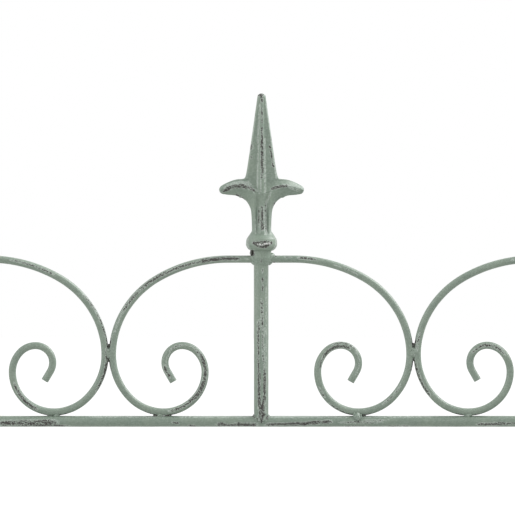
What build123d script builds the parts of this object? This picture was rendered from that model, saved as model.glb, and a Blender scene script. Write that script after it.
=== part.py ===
from build123d import *
import math
import os

# Garden fence panel of forged iron: six equal bays along one bottom rail.
# Each bay is a round upright with a cast spear head on it and a pair of scrolls
# that touch the rail, the head's socket and the scroll of the next bay, where they are welded.
# X runs along the fence, Y through it and Z up, in millimetres.
# The origin is the middle of the left leg's foot, at ground level under the first upright.

# Panel
BAY_COUNT = 6
BAY_PITCH = 333.0

# Round bar stock
RAIL_DIA = 12.0
UPRIGHT_DIA = 16.0
SCROLL_DIA = 8.0
LEG_DIA = 16.0

# The rail's underside stands this far above the ground on the two legs
GROUND_GAP = 36.0

# Space that is left between two bars before they are welded
ROOT_GAP = 0.2

# Scroll centreline as arcs of (radius, turn in degrees), all bent the same way:
# from the straight lead-in over the crown to the widest point, down the flank to the
# foot on the rail, and up and round into the curl, which ends in a short straight tail
CROWN_ARCS = ((154.0, 30.0), (102.0, 30.0), (93.0, 30.0))
FLANK_ARCS = ((67.0, 45.0), (51.5, 45.0))
CURL_ARCS = ((46.0, 45.0), (43.0, 45.0), (31.0, 45.0), (23.0, 45.0), (18.5, 121.0))
CURL_TAIL = 12.0

# Spear head, one casting: socket and collar, stem, two leaves and blade
SOCKET_WALL = 2.55
SOCKET_FIT = 0.15
SOCKET_DEPTH = 22.0
SOCKET_BELOW_SCROLL = 2.5
COLLAR_ABOVE_SCROLL = 9.0
COLLAR_TOP_DIA = 20.6
COLLAR_CONE_DIA = 32.0
COLLAR_CONE_HEIGHT = 8.6
COLLAR_DIA = 34.2
COLLAR_FOOT_DIA = 24.0
COLLAR_ROLL_HEIGHT = 13.4
COLLAR_WIDEST_HEIGHT = 7.4

# Stem between the two leaves, as (width, depth) at its foot and where it ends in the blade
STEM_RIB = (6.8, 16.0)
STEM_RIB_TOP = (9.0, 11.8)
STEM_CORE = (14.0, 9.0)
STEM_CORE_TOP = (34.0, 5.4)
STEM_LAP = 6.0

# Blade: it starts BLADE_BASE above the collar, inside the leaves
BLADE_BASE = 43.0
BLADE_HEIGHT = 107.0
BLADE_BASE_WIDTH = 37.0
BLADE_TIP_WIDTH = 8.6
BLADE_CORE = 7.0
BLADE_EDGE = 3.0
BLADE_RIB_WIDTH = 9.4
BLADE_RIB_DEPTH = 13.2
BLADE_TIP_CORE = 4.6
BLADE_TIP_EDGE = 2.4
BLADE_TIP_RIB = (4.0, 6.4)
TIP_DIA = 7.8
SHOULDER_RADIUS = 4.5
SHOULDER_THICKNESS = 3.2

# Leaf stations from the collar's top to the leaf's tip, as
# (distance from the middle, height above the collar, slope in degrees, half width, half depth)
LEAF_STATIONS = (
    (6.4, -3.0, 90.0, 4.0, 6.4),
    (6.9, 16.0, 88.0, 4.2, 6.6),
    (8.2, 28.6, 68.0, 5.6, 7.0),
    (12.2, 40.1, 42.0, 9.0, 7.6),
    (22.6, 47.0, 16.0, 9.8, 7.2),
    (35.6, 46.2, -12.0, 6.8, 6.0),
    (41.4, 44.9, -20.0, 4.2, 4.3),
)
LEAF_TIP_DIA = 7.8
LEAF_RIDGE_SHIFT = 0.15
LEAF_BULGE = 0.12

# Weld beads
SOCKET_BEAD = 2.3
FOOT_BEAD = 1.8
CONTACT_BEAD_DIA = 6.0
CONTACT_BEAD_LENGTH = 18.0
CONTACT_BEAD_TAPER = 6.0

# Places that follow from the sizes above
RAIL_R = RAIL_DIA / 2
UPRIGHT_R = UPRIGHT_DIA / 2
SCROLL_R = SCROLL_DIA / 2
SOCKET_R = UPRIGHT_R + SOCKET_FIT + SOCKET_WALL
HALF_BAY = BAY_PITCH / 2
RAIL_AXIS_Z = GROUND_GAP + RAIL_R
RAIL_TOP_Z = GROUND_GAP + RAIL_DIA
SCROLL_FOOT_Z = RAIL_TOP_Z + ROOT_GAP + SCROLL_R
SCROLL_WIDEST_X = HALF_BAY - ROOT_GAP / 2 - SCROLL_R


def arc_reach(arcs, start_turn):
    """Distance (x, z) that the arcs cover when the first begins after start_turn degrees.

    An arc of radius R from turn a to turn b moves R (sin b - sin a) along x and
    R (cos b - cos a) along z, because the bar turns clockwise from the +X direction.
    """
    x, z, turn = 0.0, 0.0, start_turn
    for radius, sweep_angle in arcs:
        a = math.radians(turn)
        b = math.radians(turn + sweep_angle)
        x += radius * (math.sin(b) - math.sin(a))
        z += radius * (math.cos(b) - math.cos(a))
        turn += sweep_angle
    return x, z


CROWN_X, CROWN_Z = arc_reach(CROWN_ARCS, 0)
FLANK_X, FLANK_Z = arc_reach(FLANK_ARCS, 90)
SCROLL_TOP_Z = SCROLL_FOOT_Z - FLANK_Z - CROWN_Z
SCROLL_FOOT_X = SCROLL_WIDEST_X + FLANK_X
SCROLL_WIDEST_Z = SCROLL_FOOT_Z - FLANK_Z
LEAD_IN_END_X = SCROLL_WIDEST_X - CROWN_X
SOCKET_BOTTOM_Z = SCROLL_TOP_Z - SCROLL_R - SOCKET_BELOW_SCROLL
COLLAR_BOTTOM_Z = SCROLL_TOP_Z + COLLAR_ABOVE_SCROLL
CONE_FOOT_Z = COLLAR_BOTTOM_Z + COLLAR_ROLL_HEIGHT
COLLAR_TOP_Z = CONE_FOOT_Z + COLLAR_CONE_HEIGHT
UPRIGHT_TOP_Z = SOCKET_BOTTOM_Z + SOCKET_DEPTH
BLADE_TOP_Z = COLLAR_TOP_Z + BLADE_BASE + BLADE_HEIGHT


def bay_x(bay):
    """X of the upright in the bay, counted from 0 at the left."""
    return bay * BAY_PITCH


def bar_along_z(diameter, bottom, top):
    """Round bar on the Z axis between two heights."""
    bar = Cylinder(diameter / 2, top - bottom, align=(Align.CENTER, Align.CENTER, Align.MIN))
    return Pos(0, 0, bottom) * bar


def bar_along_x(diameter, start, end, height):
    """Round bar parallel to X at a height above the ground."""
    bar = Rot(0, 90, 0) * Cylinder(diameter / 2, end - start)
    return Pos((start + end) / 2, 0, height) * bar


def rail_clearance():
    """The rail's own space and the root gap round it, which the upright and leg are coped to."""
    return bar_along_x(RAIL_DIA + 2 * ROOT_GAP, -HALF_BAY, HALF_BAY, RAIL_AXIS_Z)


def bottom_rail():
    """One bar that carries every bay, cut square at both ends of the panel."""
    return bar_along_x(RAIL_DIA, -HALF_BAY, bay_x(BAY_COUNT - 1) + HALF_BAY, RAIL_AXIS_Z)


def upright():
    """Upright of the bay at x = 0, with its lower end coped over the rail."""
    return bar_along_z(UPRIGHT_DIA, RAIL_AXIS_Z, UPRIGHT_TOP_Z) - rail_clearance()


def leg():
    """Leg under the upright at x = 0, coped to the rail from below and cut off at the ground."""
    return bar_along_z(LEG_DIA, 0, RAIL_AXIS_Z) - rail_clearance()


def scroll_line():
    """Centreline of the right-hand scroll, in the fence's own plane."""
    edges = [Line((SOCKET_R / 2, SCROLL_TOP_Z), (LEAD_IN_END_X, SCROLL_TOP_Z))]
    for radius, sweep_angle in CROWN_ARCS + FLANK_ARCS + CURL_ARCS:
        edges.append(JernArc(edges[-1] @ 1, edges[-1] % 1, radius, -sweep_angle))
    tail_end = edges[-1] @ 1 + (edges[-1] % 1) * CURL_TAIL
    edges.append(Line(edges[-1] @ 1, tail_end))
    return Plane.XZ * Wire(edges)


def right_scroll():
    """Scroll right of the upright at x = 0, with its upper end coped to the socket."""
    line = scroll_line()
    bar = sweep(Plane(line @ 0, z_dir=line % 0) * Circle(SCROLL_R), path=line)
    return bar - bar_along_z(2 * (SOCKET_R + ROOT_GAP), SOCKET_BOTTOM_Z, COLLAR_TOP_Z)


def socket_and_collar():
    """Round lower part of the casting: plain socket, rolled collar and a cone up to the stem."""
    foot = (COLLAR_FOOT_DIA / 2, COLLAR_BOTTOM_Z)
    widest = (COLLAR_DIA / 2, COLLAR_BOTTOM_Z + COLLAR_WIDEST_HEIGHT)
    cone_foot = (COLLAR_CONE_DIA / 2, CONE_FOOT_Z)
    socket = Polyline(
        (0, COLLAR_TOP_Z),
        (0, SOCKET_BOTTOM_Z),
        (SOCKET_R, SOCKET_BOTTOM_Z),
        (SOCKET_R, COLLAR_BOTTOM_Z),
        foot,
    )
    roll = ThreePointArc(foot, widest, cone_foot)
    cone = Polyline(cone_foot, (COLLAR_TOP_DIA / 2, COLLAR_TOP_Z), (0, COLLAR_TOP_Z))
    return revolve(Plane.XZ * make_face([socket, roll, cone]), Axis.Z)


def leaf_section(station):
    """Four-sided section of a leaf, square to its middle line, with a ridge on both faces."""
    out, up, slope, half_width, half_depth = station
    angle = math.radians(slope)
    plane = Plane(
        origin=(out, 0, COLLAR_TOP_Z + up),
        x_dir=(-math.sin(angle), 0, math.cos(angle)),
        z_dir=(math.cos(angle), 0, math.sin(angle)),
    )
    ridge = LEAF_RIDGE_SHIFT * half_width
    corners = (
        Vector(-half_width, 0),
        Vector(ridge, half_depth),
        Vector(half_width, 0),
        Vector(ridge, -half_depth),
    )
    sides = []
    for corner, following in zip(corners, corners[1:] + corners[:1]):
        chord = following - corner
        outward = Vector(-chord.Y, chord.X) * LEAF_BULGE
        middle = (corner + following) / 2 + outward
        sides.append(ThreePointArc(corner, middle, following))
    return plane * make_face(sides)


def leaf():
    """Right-hand leaf: it rises beside the stem, bends outwards and ends in a blunt tip."""
    out, up = LEAF_STATIONS[-1][:2]
    tip = Pos(out, 0, COLLAR_TOP_Z + up) * Sphere(LEAF_TIP_DIA / 2)
    return loft([leaf_section(station) for station in LEAF_STATIONS]) + tip


def tapered_bar(bottom_z, top_z, bottom_size, top_size):
    """Elliptical bar that tapers between two heights; each size is (width, depth)."""
    bottom = Pos(0, 0, bottom_z) * Ellipse(bottom_size[0] / 2, bottom_size[1] / 2)
    top = Pos(0, 0, top_z) * Ellipse(top_size[0] / 2, top_size[1] / 2)
    return loft([bottom, top])


def blade_section(height, width, edge, core, rib):
    """Level section of the blade: thin blunt edges, a thicker core and a round rib on each face."""
    half = width / 2
    rib_half, rib_top = rib[0] / 2, rib[1] / 2
    front = [
        Line((-half, -edge / 2), (-rib_half, -core / 2)),
        ThreePointArc((-rib_half, -core / 2), (0, -rib_top), (rib_half, -core / 2)),
        Line((rib_half, -core / 2), (half, -edge / 2)),
    ]
    back = [
        Line((half, edge / 2), (rib_half, core / 2)),
        ThreePointArc((rib_half, core / 2), (0, rib_top), (-rib_half, core / 2)),
        Line((-rib_half, core / 2), (-half, edge / 2)),
    ]
    right_edge = Line((half, -edge / 2), (half, edge / 2))
    left_edge = Line((-half, edge / 2), (-half, -edge / 2))
    return Pos(0, 0, height) * make_face(front + [right_edge] + back + [left_edge])


def blade():
    """Tapering blade with its two ribs, ending in a ball at the tip."""
    base_z = COLLAR_TOP_Z + BLADE_BASE
    tip_z = BLADE_TOP_Z - TIP_DIA / 2
    base_rib = (BLADE_RIB_WIDTH, BLADE_RIB_DEPTH)
    base = blade_section(base_z, BLADE_BASE_WIDTH, BLADE_EDGE, BLADE_CORE, base_rib)
    tip = blade_section(tip_z, BLADE_TIP_WIDTH, BLADE_TIP_EDGE, BLADE_TIP_CORE, BLADE_TIP_RIB)
    return loft([base, tip], ruled=True) + Pos(0, 0, tip_z) * Sphere(TIP_DIA / 2)


def shoulder():
    """Hollow fillet in the corner between the blade's right edge and the leaf's back."""
    taper = (BLADE_BASE_WIDTH - BLADE_TIP_WIDTH) / 2 / (BLADE_HEIGHT - TIP_DIA / 2)
    out, up, slope, half_width, _ = LEAF_STATIONS[4]
    back_z = COLLAR_TOP_Z + up + half_width * math.cos(math.radians(slope))
    top_z = back_z + SHOULDER_RADIUS
    edge_x = BLADE_BASE_WIDTH / 2 - taper * (top_z - COLLAR_TOP_Z - BLADE_BASE)
    centre = (edge_x + SHOULDER_RADIUS, top_z)
    block = Pos(edge_x, back_z) * Rectangle(2 * SHOULDER_RADIUS, 2 * SHOULDER_RADIUS)
    hollow = Pos(*centre) * Circle(SHOULDER_RADIUS)
    return extrude(Plane.XZ * (block - hollow), amount=SHOULDER_THICKNESS / 2, both=True)


def spear_head():
    """The whole casting over the upright at x = 0, with the blind hole that the upright fills."""
    stem_bottom_z = COLLAR_TOP_Z - STEM_LAP
    stem_top_z = COLLAR_TOP_Z + BLADE_BASE + STEM_LAP
    stem_rib = tapered_bar(stem_bottom_z, stem_top_z, STEM_RIB, STEM_RIB_TOP)
    stem_core = tapered_bar(stem_bottom_z, stem_top_z, STEM_CORE, STEM_CORE_TOP)
    right_leaf = leaf()
    left_leaf = right_leaf.mirror(Plane.YZ)
    casting = socket_and_collar() + stem_core + stem_rib + right_leaf + left_leaf + blade()
    right_shoulder = shoulder()
    casting = casting + right_shoulder + right_shoulder.mirror(Plane.YZ)
    return casting - bar_along_z(UPRIGHT_DIA + 2 * SOCKET_FIT, RAIL_TOP_Z, UPRIGHT_TOP_Z)


def contact_bead():
    """Bead along the X axis where two bars touch: a short round bar that tapers at both ends."""
    half = CONTACT_BEAD_LENGTH / 2
    full = half - CONTACT_BEAD_TAPER
    radius = CONTACT_BEAD_DIA / 2
    profile = Polyline((-half, 0), (-full, radius), (full, radius), (half, 0), close=True)
    return revolve(make_face(profile), Axis.X)


def rail_bead(bar_dia):
    """Bead round a bar that stands on the rail at x = 0, just above the rail's middle plane."""
    bottom = RAIL_AXIS_Z + ROOT_GAP
    skirt = Pos(0, 0, bottom) * Cone(
        bar_dia / 2 + FOOT_BEAD, bar_dia / 2, RAIL_R + FOOT_BEAD,
        align=(Align.CENTER, Align.CENTER, Align.MIN),
    )
    hug = bar_along_x(RAIL_DIA + 2 * FOOT_BEAD, -HALF_BAY, HALF_BAY, RAIL_AXIS_Z)
    rail = bar_along_x(RAIL_DIA, -HALF_BAY, HALF_BAY, RAIL_AXIS_Z)
    bar = bar_along_z(bar_dia, RAIL_AXIS_Z, UPRIGHT_TOP_Z) - rail_clearance()
    return (skirt & hug) - rail - bar


def bay_welds():
    """Beads of the bay at x = 0, each cut back to the bars that it joins."""
    scroll = right_scroll()
    rail = bar_along_x(RAIL_DIA, -HALF_BAY, HALF_BAY, RAIL_AXIS_Z)
    socket = bar_along_z(2 * SOCKET_R, RAIL_TOP_Z, COLLAR_TOP_Z)

    ring = Rot(0, 90, 0) * Cone(
        SCROLL_R + SOCKET_BEAD, SCROLL_R + ROOT_GAP, SOCKET_R / 2 + SOCKET_BEAD,
        align=(Align.CENTER, Align.CENTER, Align.MIN),
    )
    socket_bead = Pos(SOCKET_R / 2, 0, SCROLL_TOP_Z) * ring - socket - scroll

    foot_bead = Pos(SCROLL_FOOT_X, 0, RAIL_TOP_Z) * contact_bead() - rail - scroll

    beads = []
    for bead in (socket_bead, foot_bead):
        beads += bead.solids()
        beads += bead.mirror(Plane.YZ).solids()
    return beads + list(rail_bead(UPRIGHT_DIA).solids())


def bay_joint_weld():
    """Bead between the scrolls of two neighbouring bays, right of the bay at x = 0."""
    bead = Pos(HALF_BAY, 0, SCROLL_WIDEST_Z) * Rot(0, 90, 0) * contact_bead()
    scroll = right_scroll()
    next_scroll = Pos(BAY_PITCH, 0, 0) * scroll.mirror(Plane.YZ)
    return list((bead - scroll - next_scroll).solids())


def leg_weld():
    """Bead round the top of a leg, under the rail at x = 0."""
    return list(rail_bead(LEG_DIA).mirror(Plane.XY.offset(RAIL_AXIS_Z)).solids())


def write(name, shapes):
    """Writes the shapes as one node."""
    solids = [solid for shape in shapes for solid in shape.solids()]
    export_step(Compound(children=solids) if len(solids) > 1 else solids[0], f"parts/{name}.step")


os.makedirs("parts", exist_ok=True)

post = upright()
head = spear_head()
scroll_right = right_scroll()
scroll_left = scroll_right.mirror(Plane.YZ)
beads_of_bay = bay_welds()
bead_between_bays = bay_joint_weld()
stake = leg()
beads_of_leg = leg_weld()

write("bottom_rail", [bottom_rail()])
for bay in range(BAY_COUNT):
    place = Pos(bay_x(bay), 0, 0)
    number = bay + 1
    write(f"upright_{number}", [place * post])
    write(f"spear_head_{number}", [place * head])
    write(f"scroll_{number}_left", [place * scroll_left])
    write(f"scroll_{number}_right", [place * scroll_right])
    beads = list(beads_of_bay)
    if bay < BAY_COUNT - 1:
        beads += bead_between_bays
    if bay in (0, BAY_COUNT - 1):
        beads += beads_of_leg
    write(f"weld_beads_{number}", [place * bead for bead in beads])
for side, bay in (("left", 0), ("right", BAY_COUNT - 1)):
    write(f"leg_{side}", [Pos(bay_x(bay), 0, 0) * stake])
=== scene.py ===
import math

import bpy
import numpy as np
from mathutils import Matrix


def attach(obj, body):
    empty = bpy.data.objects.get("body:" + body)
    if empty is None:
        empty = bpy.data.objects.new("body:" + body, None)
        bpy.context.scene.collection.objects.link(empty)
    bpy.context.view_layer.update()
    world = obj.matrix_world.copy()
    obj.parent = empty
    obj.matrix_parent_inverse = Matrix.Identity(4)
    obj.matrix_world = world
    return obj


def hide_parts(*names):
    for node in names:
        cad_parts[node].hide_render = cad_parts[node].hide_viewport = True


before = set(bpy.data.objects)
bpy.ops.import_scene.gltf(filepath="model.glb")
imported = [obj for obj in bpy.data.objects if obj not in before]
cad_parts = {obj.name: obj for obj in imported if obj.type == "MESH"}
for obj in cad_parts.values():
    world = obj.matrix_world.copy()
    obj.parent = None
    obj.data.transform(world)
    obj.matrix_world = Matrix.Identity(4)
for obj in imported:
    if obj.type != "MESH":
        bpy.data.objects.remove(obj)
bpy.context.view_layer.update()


# Bottom rail: one 12 mm round bar of hot-rolled mild steel that carries all six bays.
# It is sawn square at both ends, its cut edges are filed, and the uprights and scrolls are welded on it.

MM = 0.001
BAY_COUNT = 6
BAY_PITCH = 333.0
SHOWN_BAY = 2
RAIL_R = 6.0
RAIL_AXIS_Z = 42.0
RAIL_START = -BAY_PITCH / 2
RAIL_END = BAY_PITCH * (BAY_COUNT - 0.5)
PATTERN_STEP = 731.0

PAINT_GREEN = "#829182"
PAINT_SHADE = "#77877a"
PAINT_CHALKY = "#9fada1"
# Pale undercoat grey: the real undercoat round worn places, and painted highlight lines where weak strokes lay
# it along lit edges and flanks
UNDERCOAT_AND_HIGHLIGHT_GREY = "#bcc6be"
# Dark iron colours: real worn-through iron, and also painted shade in the crevices beside the welds
OLD_IRON_AND_CREVICE_SHADE = "#2b2b28"
RUSTY_IRON_AND_CREVICE_SHADE = "#46433e"
# Near-white where the wear is deepest: a painted glint on bare iron rubbed to a shine
POLISHED_IRON_GLINT = "#e4e6e3"
SPECK_SIZE = (1.5, 1.2, 1.2)
PATCH_SIZE = (34.0, 26.0, 26.0)
MOTTLE_SIZE = (2.2, 1.6, 1.6)
PAINT_FILM = 0.09
BARE_ROUGHNESS = 0.62


def waver(along, around, rng, reach, lengths=(190.0, 67.0, 24.0)):
    """Unevenness of rolled bar: slow waves along it, each of which also turns a little round it."""
    total = 0.0
    for length in lengths:
        turns = rng.integers(0, 3)
        total = total + np.sin(2 * math.pi * along / length + turns * around + rng.uniform(0, 6.3))
    return reach * total / len(lengths)


def cut_bar_stations(start, end, step):
    """Stations along a bar with two sawn ends, and how far the ring is drawn in from the full radius.

    Both ends have a flat face whose edge is filed round over half a millimetre; even steps lie between.
    """
    edge = np.array([0.0, 0.0, 0.06, 0.2, 0.5])
    inset = np.array([3.0, 0.5, 0.27, 0.1, 0.0])
    count = int((end - start - 1.0) / step)
    middle = np.linspace(start + 0.5, end - 0.5, count)[1:-1]
    places = np.concatenate([start + edge, middle, end - edge[::-1]])
    insets = np.concatenate([inset, np.zeros(len(middle)), inset[::-1]])
    return places, insets


def round_bar(along, middle, outward, radius, number, columns=24, reach=0.07):
    """Skin of a round bar whose middle line lies in the fence's plane.

    point = middle + r * (sin a * outward + cos a * front), where a is the angle from the front face
    and r is the radius with a slight waver. The second result is the same point on the bar laid out
    straight, (along, r cos a, r sin a), for patterns that follow the bar. Each bar lies one
    PATTERN_STEP further on there than the one before, so that no two look alike.
    """
    rng = np.random.default_rng(1000 + number)
    a = np.linspace(-math.pi, math.pi, columns, endpoint=False)[None, :]
    along = along[:, None]
    r = np.broadcast_to(np.asarray(radius, float).reshape(-1, 1), (along.shape[0], columns))
    r = r + waver(along, a, rng, reach)
    x = middle[:, :1] + r * np.sin(a) * outward[:, :1]
    y = -r * np.cos(a)
    z = middle[:, 1:] + r * np.sin(a) * outward[:, 1:]
    straight = np.stack([along + 0 * a + PATTERN_STEP * number, -y, r * np.sin(a)], axis=-1)
    return np.stack([x, y, z], axis=-1), straight


def rub_on_bar(along, radius, strokes, columns=24, fade_length=7.0):
    """How far the paint is rubbed away on the rings of a bar, by the length along it, in mm.

    A stroke is (start, end, angle at its start, angle at its end, half width, force) in mm and degrees
    from the front. Its force falls with the square of the distance across it and fades at both of its
    ends. A force near 1 wears through to the iron, and one of about 0.3 bares only the undercoat, which
    some listed strokes use to paint pale highlight lines; strokes at joints paint shade there.
    """
    degrees = np.linspace(-180, 180, columns, endpoint=False)[None, :]
    along = along.reshape(along.shape[0], -1)
    rub_and_painted_light = np.zeros((along.shape[0], columns))
    for start, end, first, last, half_width, force in strokes:
        share = np.clip((along - start) / (end - start), 0, 1)
        turn = (degrees - first - (last - first) * share + 180) % 360 - 180
        across = radius * np.radians(turn) / half_width
        fade = min(fade_length, (end - start) / 3)
        within = np.clip(np.minimum(along - start, end - along) / fade + 0.5, 0, 1)
        rub_and_painted_light = np.maximum(rub_and_painted_light, force * within * np.clip(1 - across ** 2, 0, 1))
    return rub_and_painted_light


def chance_strokes(rng, start, end, spacing, force=(0.35, 0.9)):
    """Rubbed places of a bar that the photograph doesn't show, as strokes spread along it by chance."""
    strokes = []
    for _ in range(max(2, int((end - start) / spacing))):
        length = min(rng.uniform(8, 60), 0.7 * (end - start))
        place = rng.uniform(start, end - length)
        side = 180 * rng.integers(0, 2)
        first = side + rng.uniform(-75, 75)
        last = first + rng.uniform(-12, 12)
        strokes.append((place, place + length, first, last, rng.uniform(0.8, 2.4), rng.uniform(*force)))
    return strokes


def closed_skins(name, skins):
    """Mesh object of closed skins, each (points, places for patterns, rub), all of them in mm.

    A skin is a grid of rows and columns whose columns close into rings. Its first and last rows close
    in a middle point each, unless the fourth entry says that the rows close into a loop as well.
    """
    points, places, rubs, faces, count = [], [], [], [], 0
    for skin in skins:
        grid, place, rub_and_painted_light = skin[:3]
        loop = len(skin) > 3 and skin[3]
        rows, columns = grid.shape[:2]
        index = np.arange(rows * columns).reshape(rows, columns)
        if loop:
            index = np.vstack([index, index[:1]])
        beside = np.roll(index, -1, axis=1)
        quads = np.stack([index[:-1], beside[:-1], beside[1:], index[1:]], axis=-1).reshape(-1, 4)
        flat, spot, worn = grid.reshape(-1, 3), place.reshape(-1, 3), rub_and_painted_light.reshape(-1)
        triangles = np.zeros((0, 3), int)
        if not loop:
            flat = np.vstack([flat, grid[0].mean(0), grid[-1].mean(0)])
            spot = np.vstack([spot, place[0].mean(0), place[-1].mean(0)])
            worn = np.concatenate([worn, [rub_and_painted_light[0].mean(), rub_and_painted_light[-1].mean()]])
            first = np.full(columns, rows * columns)
            near = np.stack([beside[0], index[0], first], axis=-1)
            far = np.stack([index[-1], beside[-1], first + 1], axis=-1)
            triangles = np.vstack([near, far])
        halves = np.vstack([quads[:, :3], quads[:, [0, 2, 3]], triangles])
        corner = flat[halves] - flat.mean(0)
        volume = np.einsum("ij,ij->i", corner[:, 0], np.cross(corner[:, 1], corner[:, 2])).sum()
        if volume < 0:
            quads, triangles = quads[:, ::-1], triangles[:, ::-1]
        faces += (quads + count).tolist() + (triangles + count).tolist()
        count += len(flat)
        points.append(flat)
        places.append(spot)
        rubs.append(worn)
    mesh = bpy.data.meshes.new(name)
    mesh.from_pydata((np.vstack(points) * MM).tolist(), [], faces)
    straight = mesh.attributes.new("bar_place", "FLOAT_VECTOR", "POINT")
    straight.data.foreach_set("vector", (np.vstack(places) * MM).ravel())
    rub_and_painted_light = mesh.attributes.new("rub_and_painted_light", "FLOAT", "POINT")
    rub_and_painted_light.data.foreach_set("value", np.concatenate(rubs))
    mesh.polygons.foreach_set("use_smooth", np.ones(len(mesh.polygons), bool))
    mesh.update()
    piece = bpy.data.objects.new(name, mesh)
    bpy.context.scene.collection.objects.link(piece)
    return piece


def linear(hex_colour):
    """sRGB hex to linear light: v / 12.92 up to 0.04045, else ((v + 0.055) / 1.055) to the power 2.4."""
    values = [int(hex_colour[i:i + 2], 16) / 255 for i in (1, 3, 5)]
    return [v / 12.92 if v <= 0.04045 else ((v + 0.055) / 1.055) ** 2.4 for v in values] + [1.0]


def put(tree, kind, inputs=None, **properties):
    """Adds one node. Each input takes a value or another node's output."""
    item = tree.nodes.new(kind)
    for name, value in properties.items():
        setattr(item, name, value)
    for socket, value in (inputs or {}).items():
        if isinstance(value, bpy.types.NodeSocket):
            tree.links.new(value, item.inputs[socket])
        else:
            item.inputs[socket].default_value = value
    return item


def rubbed_paint(name, along_bar, streak, skin_size, skin_height, roughness):
    """Satin green paint, brushed over iron and rubbed through where the rub attribute is high.

    The wear is rub times (3.4 streaks + 6 specks - 3.75), where the bracket is near 1 on average and the
    streaks are noise of the given sizes in mm. The bare share is a soft step of the wear near 0.5.
    Just below that step the grey undercoat shows as a thin pale edge, which weak strokes also lay down as
    painted highlight lines, and far above it the iron turns near-white, a painted glint on iron rubbed to a
    shine. The skin is the relief of the surface under the paint: grain size and height in mm.
    Where the iron is bare, that relief lies lower by the film of paint that is gone.
    Real specks of rust, chalky spots and skin grains are 0.2 to 0.5 mm across. Here they are drawn
    1.1 to 2.2 mm across, about four times as coarse, because finer ones would not show in the render.
    """
    material = bpy.data.materials.new(name)
    material.use_nodes = True
    tree = material.node_tree
    tree.nodes.clear()
    rub_and_painted_light = put(tree, "ShaderNodeAttribute", attribute_name="rub_and_painted_light").outputs["Fac"]
    if along_bar:
        spot = put(tree, "ShaderNodeAttribute", attribute_name="bar_place").outputs["Vector"]
    else:
        spot = put(tree, "ShaderNodeTexCoord").outputs["Object"]

    noises = []
    for sizes, detail, rough in (
            (streak, 3.0, 0.6),
            (SPECK_SIZE, 2.0, 0.6),
            (PATCH_SIZE, 3.0, 0.55),
            (MOTTLE_SIZE, 3.0, 0.7),
            ((skin_size,) * 3, 3.0, 0.6)):
        scaled = put(tree, "ShaderNodeMapping", {"Vector": spot, "Scale": [1000 / size for size in sizes]})
        noises.append(put(tree, "ShaderNodeTexNoise", {
            "Vector": scaled.outputs[0], "Scale": 1.0, "Detail": detail, "Roughness": rough}).outputs[0])
    streaks, specks, patches, mottle, skin = noises

    ragged = put(tree, "ShaderNodeMath", {0: streaks, 1: 3.4, 2: -3.75}, operation="MULTIPLY_ADD")
    ragged = put(tree, "ShaderNodeMath", {0: specks, 1: 6.0, 2: ragged.outputs[0]}, operation="MULTIPLY_ADD")
    wear = put(tree, "ShaderNodeMath", {0: rub_and_painted_light, 1: ragged.outputs[0]}, operation="MULTIPLY").outputs[0]
    # The second ramp is the pale undercoat, which weak strokes also lay as painted highlights; the third paints
    # a near-white glint
    bare, undercoat_and_highlight, polished_glint = (put(tree, "ShaderNodeMapRange", {
        "Value": wear, "From Min": low, "From Max": high, "To Max": most},
        interpolation_type="SMOOTHSTEP").outputs[0]
        for low, high, most in ((0.46, 0.56, 1.0), (0.10, 0.30, 0.75), (2.9, 3.6, 1.0)))

    tone = put(tree, "ShaderNodeMapRange", {"Value": patches, "From Min": 0.35, "From Max": 0.65}).outputs[0]
    paint = put(tree, "ShaderNodeMix", {
        0: tone, 6: linear(PAINT_SHADE), 7: linear(PAINT_GREEN)}, data_type="RGBA").outputs[2]
    grain = put(tree, "ShaderNodeMapRange", {
        "Value": mottle, "From Min": 0.42, "From Max": 0.78, "To Max": 0.75}).outputs[0]
    paint = put(tree, "ShaderNodeMix", {
        0: grain, 6: paint, 7: linear(PAINT_CHALKY)}, data_type="RGBA").outputs[2]
    # Pale undercoat grey: real round worn places, and a painted highlight along the weak strokes
    paint = put(tree, "ShaderNodeMix", {
        0: undercoat_and_highlight, 6: paint, 7: linear(UNDERCOAT_AND_HIGHLIGHT_GREY)}, data_type="RGBA").outputs[2]
    iron = put(tree, "ShaderNodeMix", {
        0: specks, 6: linear(OLD_IRON_AND_CREVICE_SHADE), 7: linear(RUSTY_IRON_AND_CREVICE_SHADE)}, data_type="RGBA").outputs[2]
    # Painted glint: the deepest-worn iron turns near-white
    iron = put(tree, "ShaderNodeMix", {
        0: polished_glint, 6: iron, 7: linear(POLISHED_IRON_GLINT)}, data_type="RGBA").outputs[2]
    colour = put(tree, "ShaderNodeMix", {0: bare, 6: paint, 7: iron}, data_type="RGBA").outputs[2]

    rough = put(tree, "ShaderNodeMapRange", {
        "Value": mottle, "From Min": 0.3, "From Max": 0.7,
        "To Min": roughness - 0.05, "To Max": roughness + 0.07}).outputs[0]
    rough = put(tree, "ShaderNodeMix", {0: bare, 2: rough, 3: BARE_ROUGHNESS}).outputs[0]

    depth = put(tree, "ShaderNodeMath", {
        0: bare, 1: -PAINT_FILM / skin_height, 2: skin}, operation="MULTIPLY_ADD")
    relief = put(tree, "ShaderNodeBump", {
        "Height": depth.outputs[0], "Strength": 1.0, "Distance": skin_height * MM}).outputs[0]
    shader = put(tree, "ShaderNodeBsdfPrincipled", {
        "Base Color": colour, "Roughness": rough, "Normal": relief, "Coat Weight": 0.3, "Coat Roughness": 0.22})
    put(tree, "ShaderNodeOutputMaterial", {"Surface": shader.outputs[0]})
    return material


# Satin alkyd paint, brushed on bar with its smooth mill skin: faint brush marks along the bar,
# and long dark streaks where handling has rubbed it through to the iron.
bar_paint = rubbed_paint("Satin green paint on rolled bar", True, (9.0, 1.3, 1.3), 1.9, 0.035, 0.40)

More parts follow.
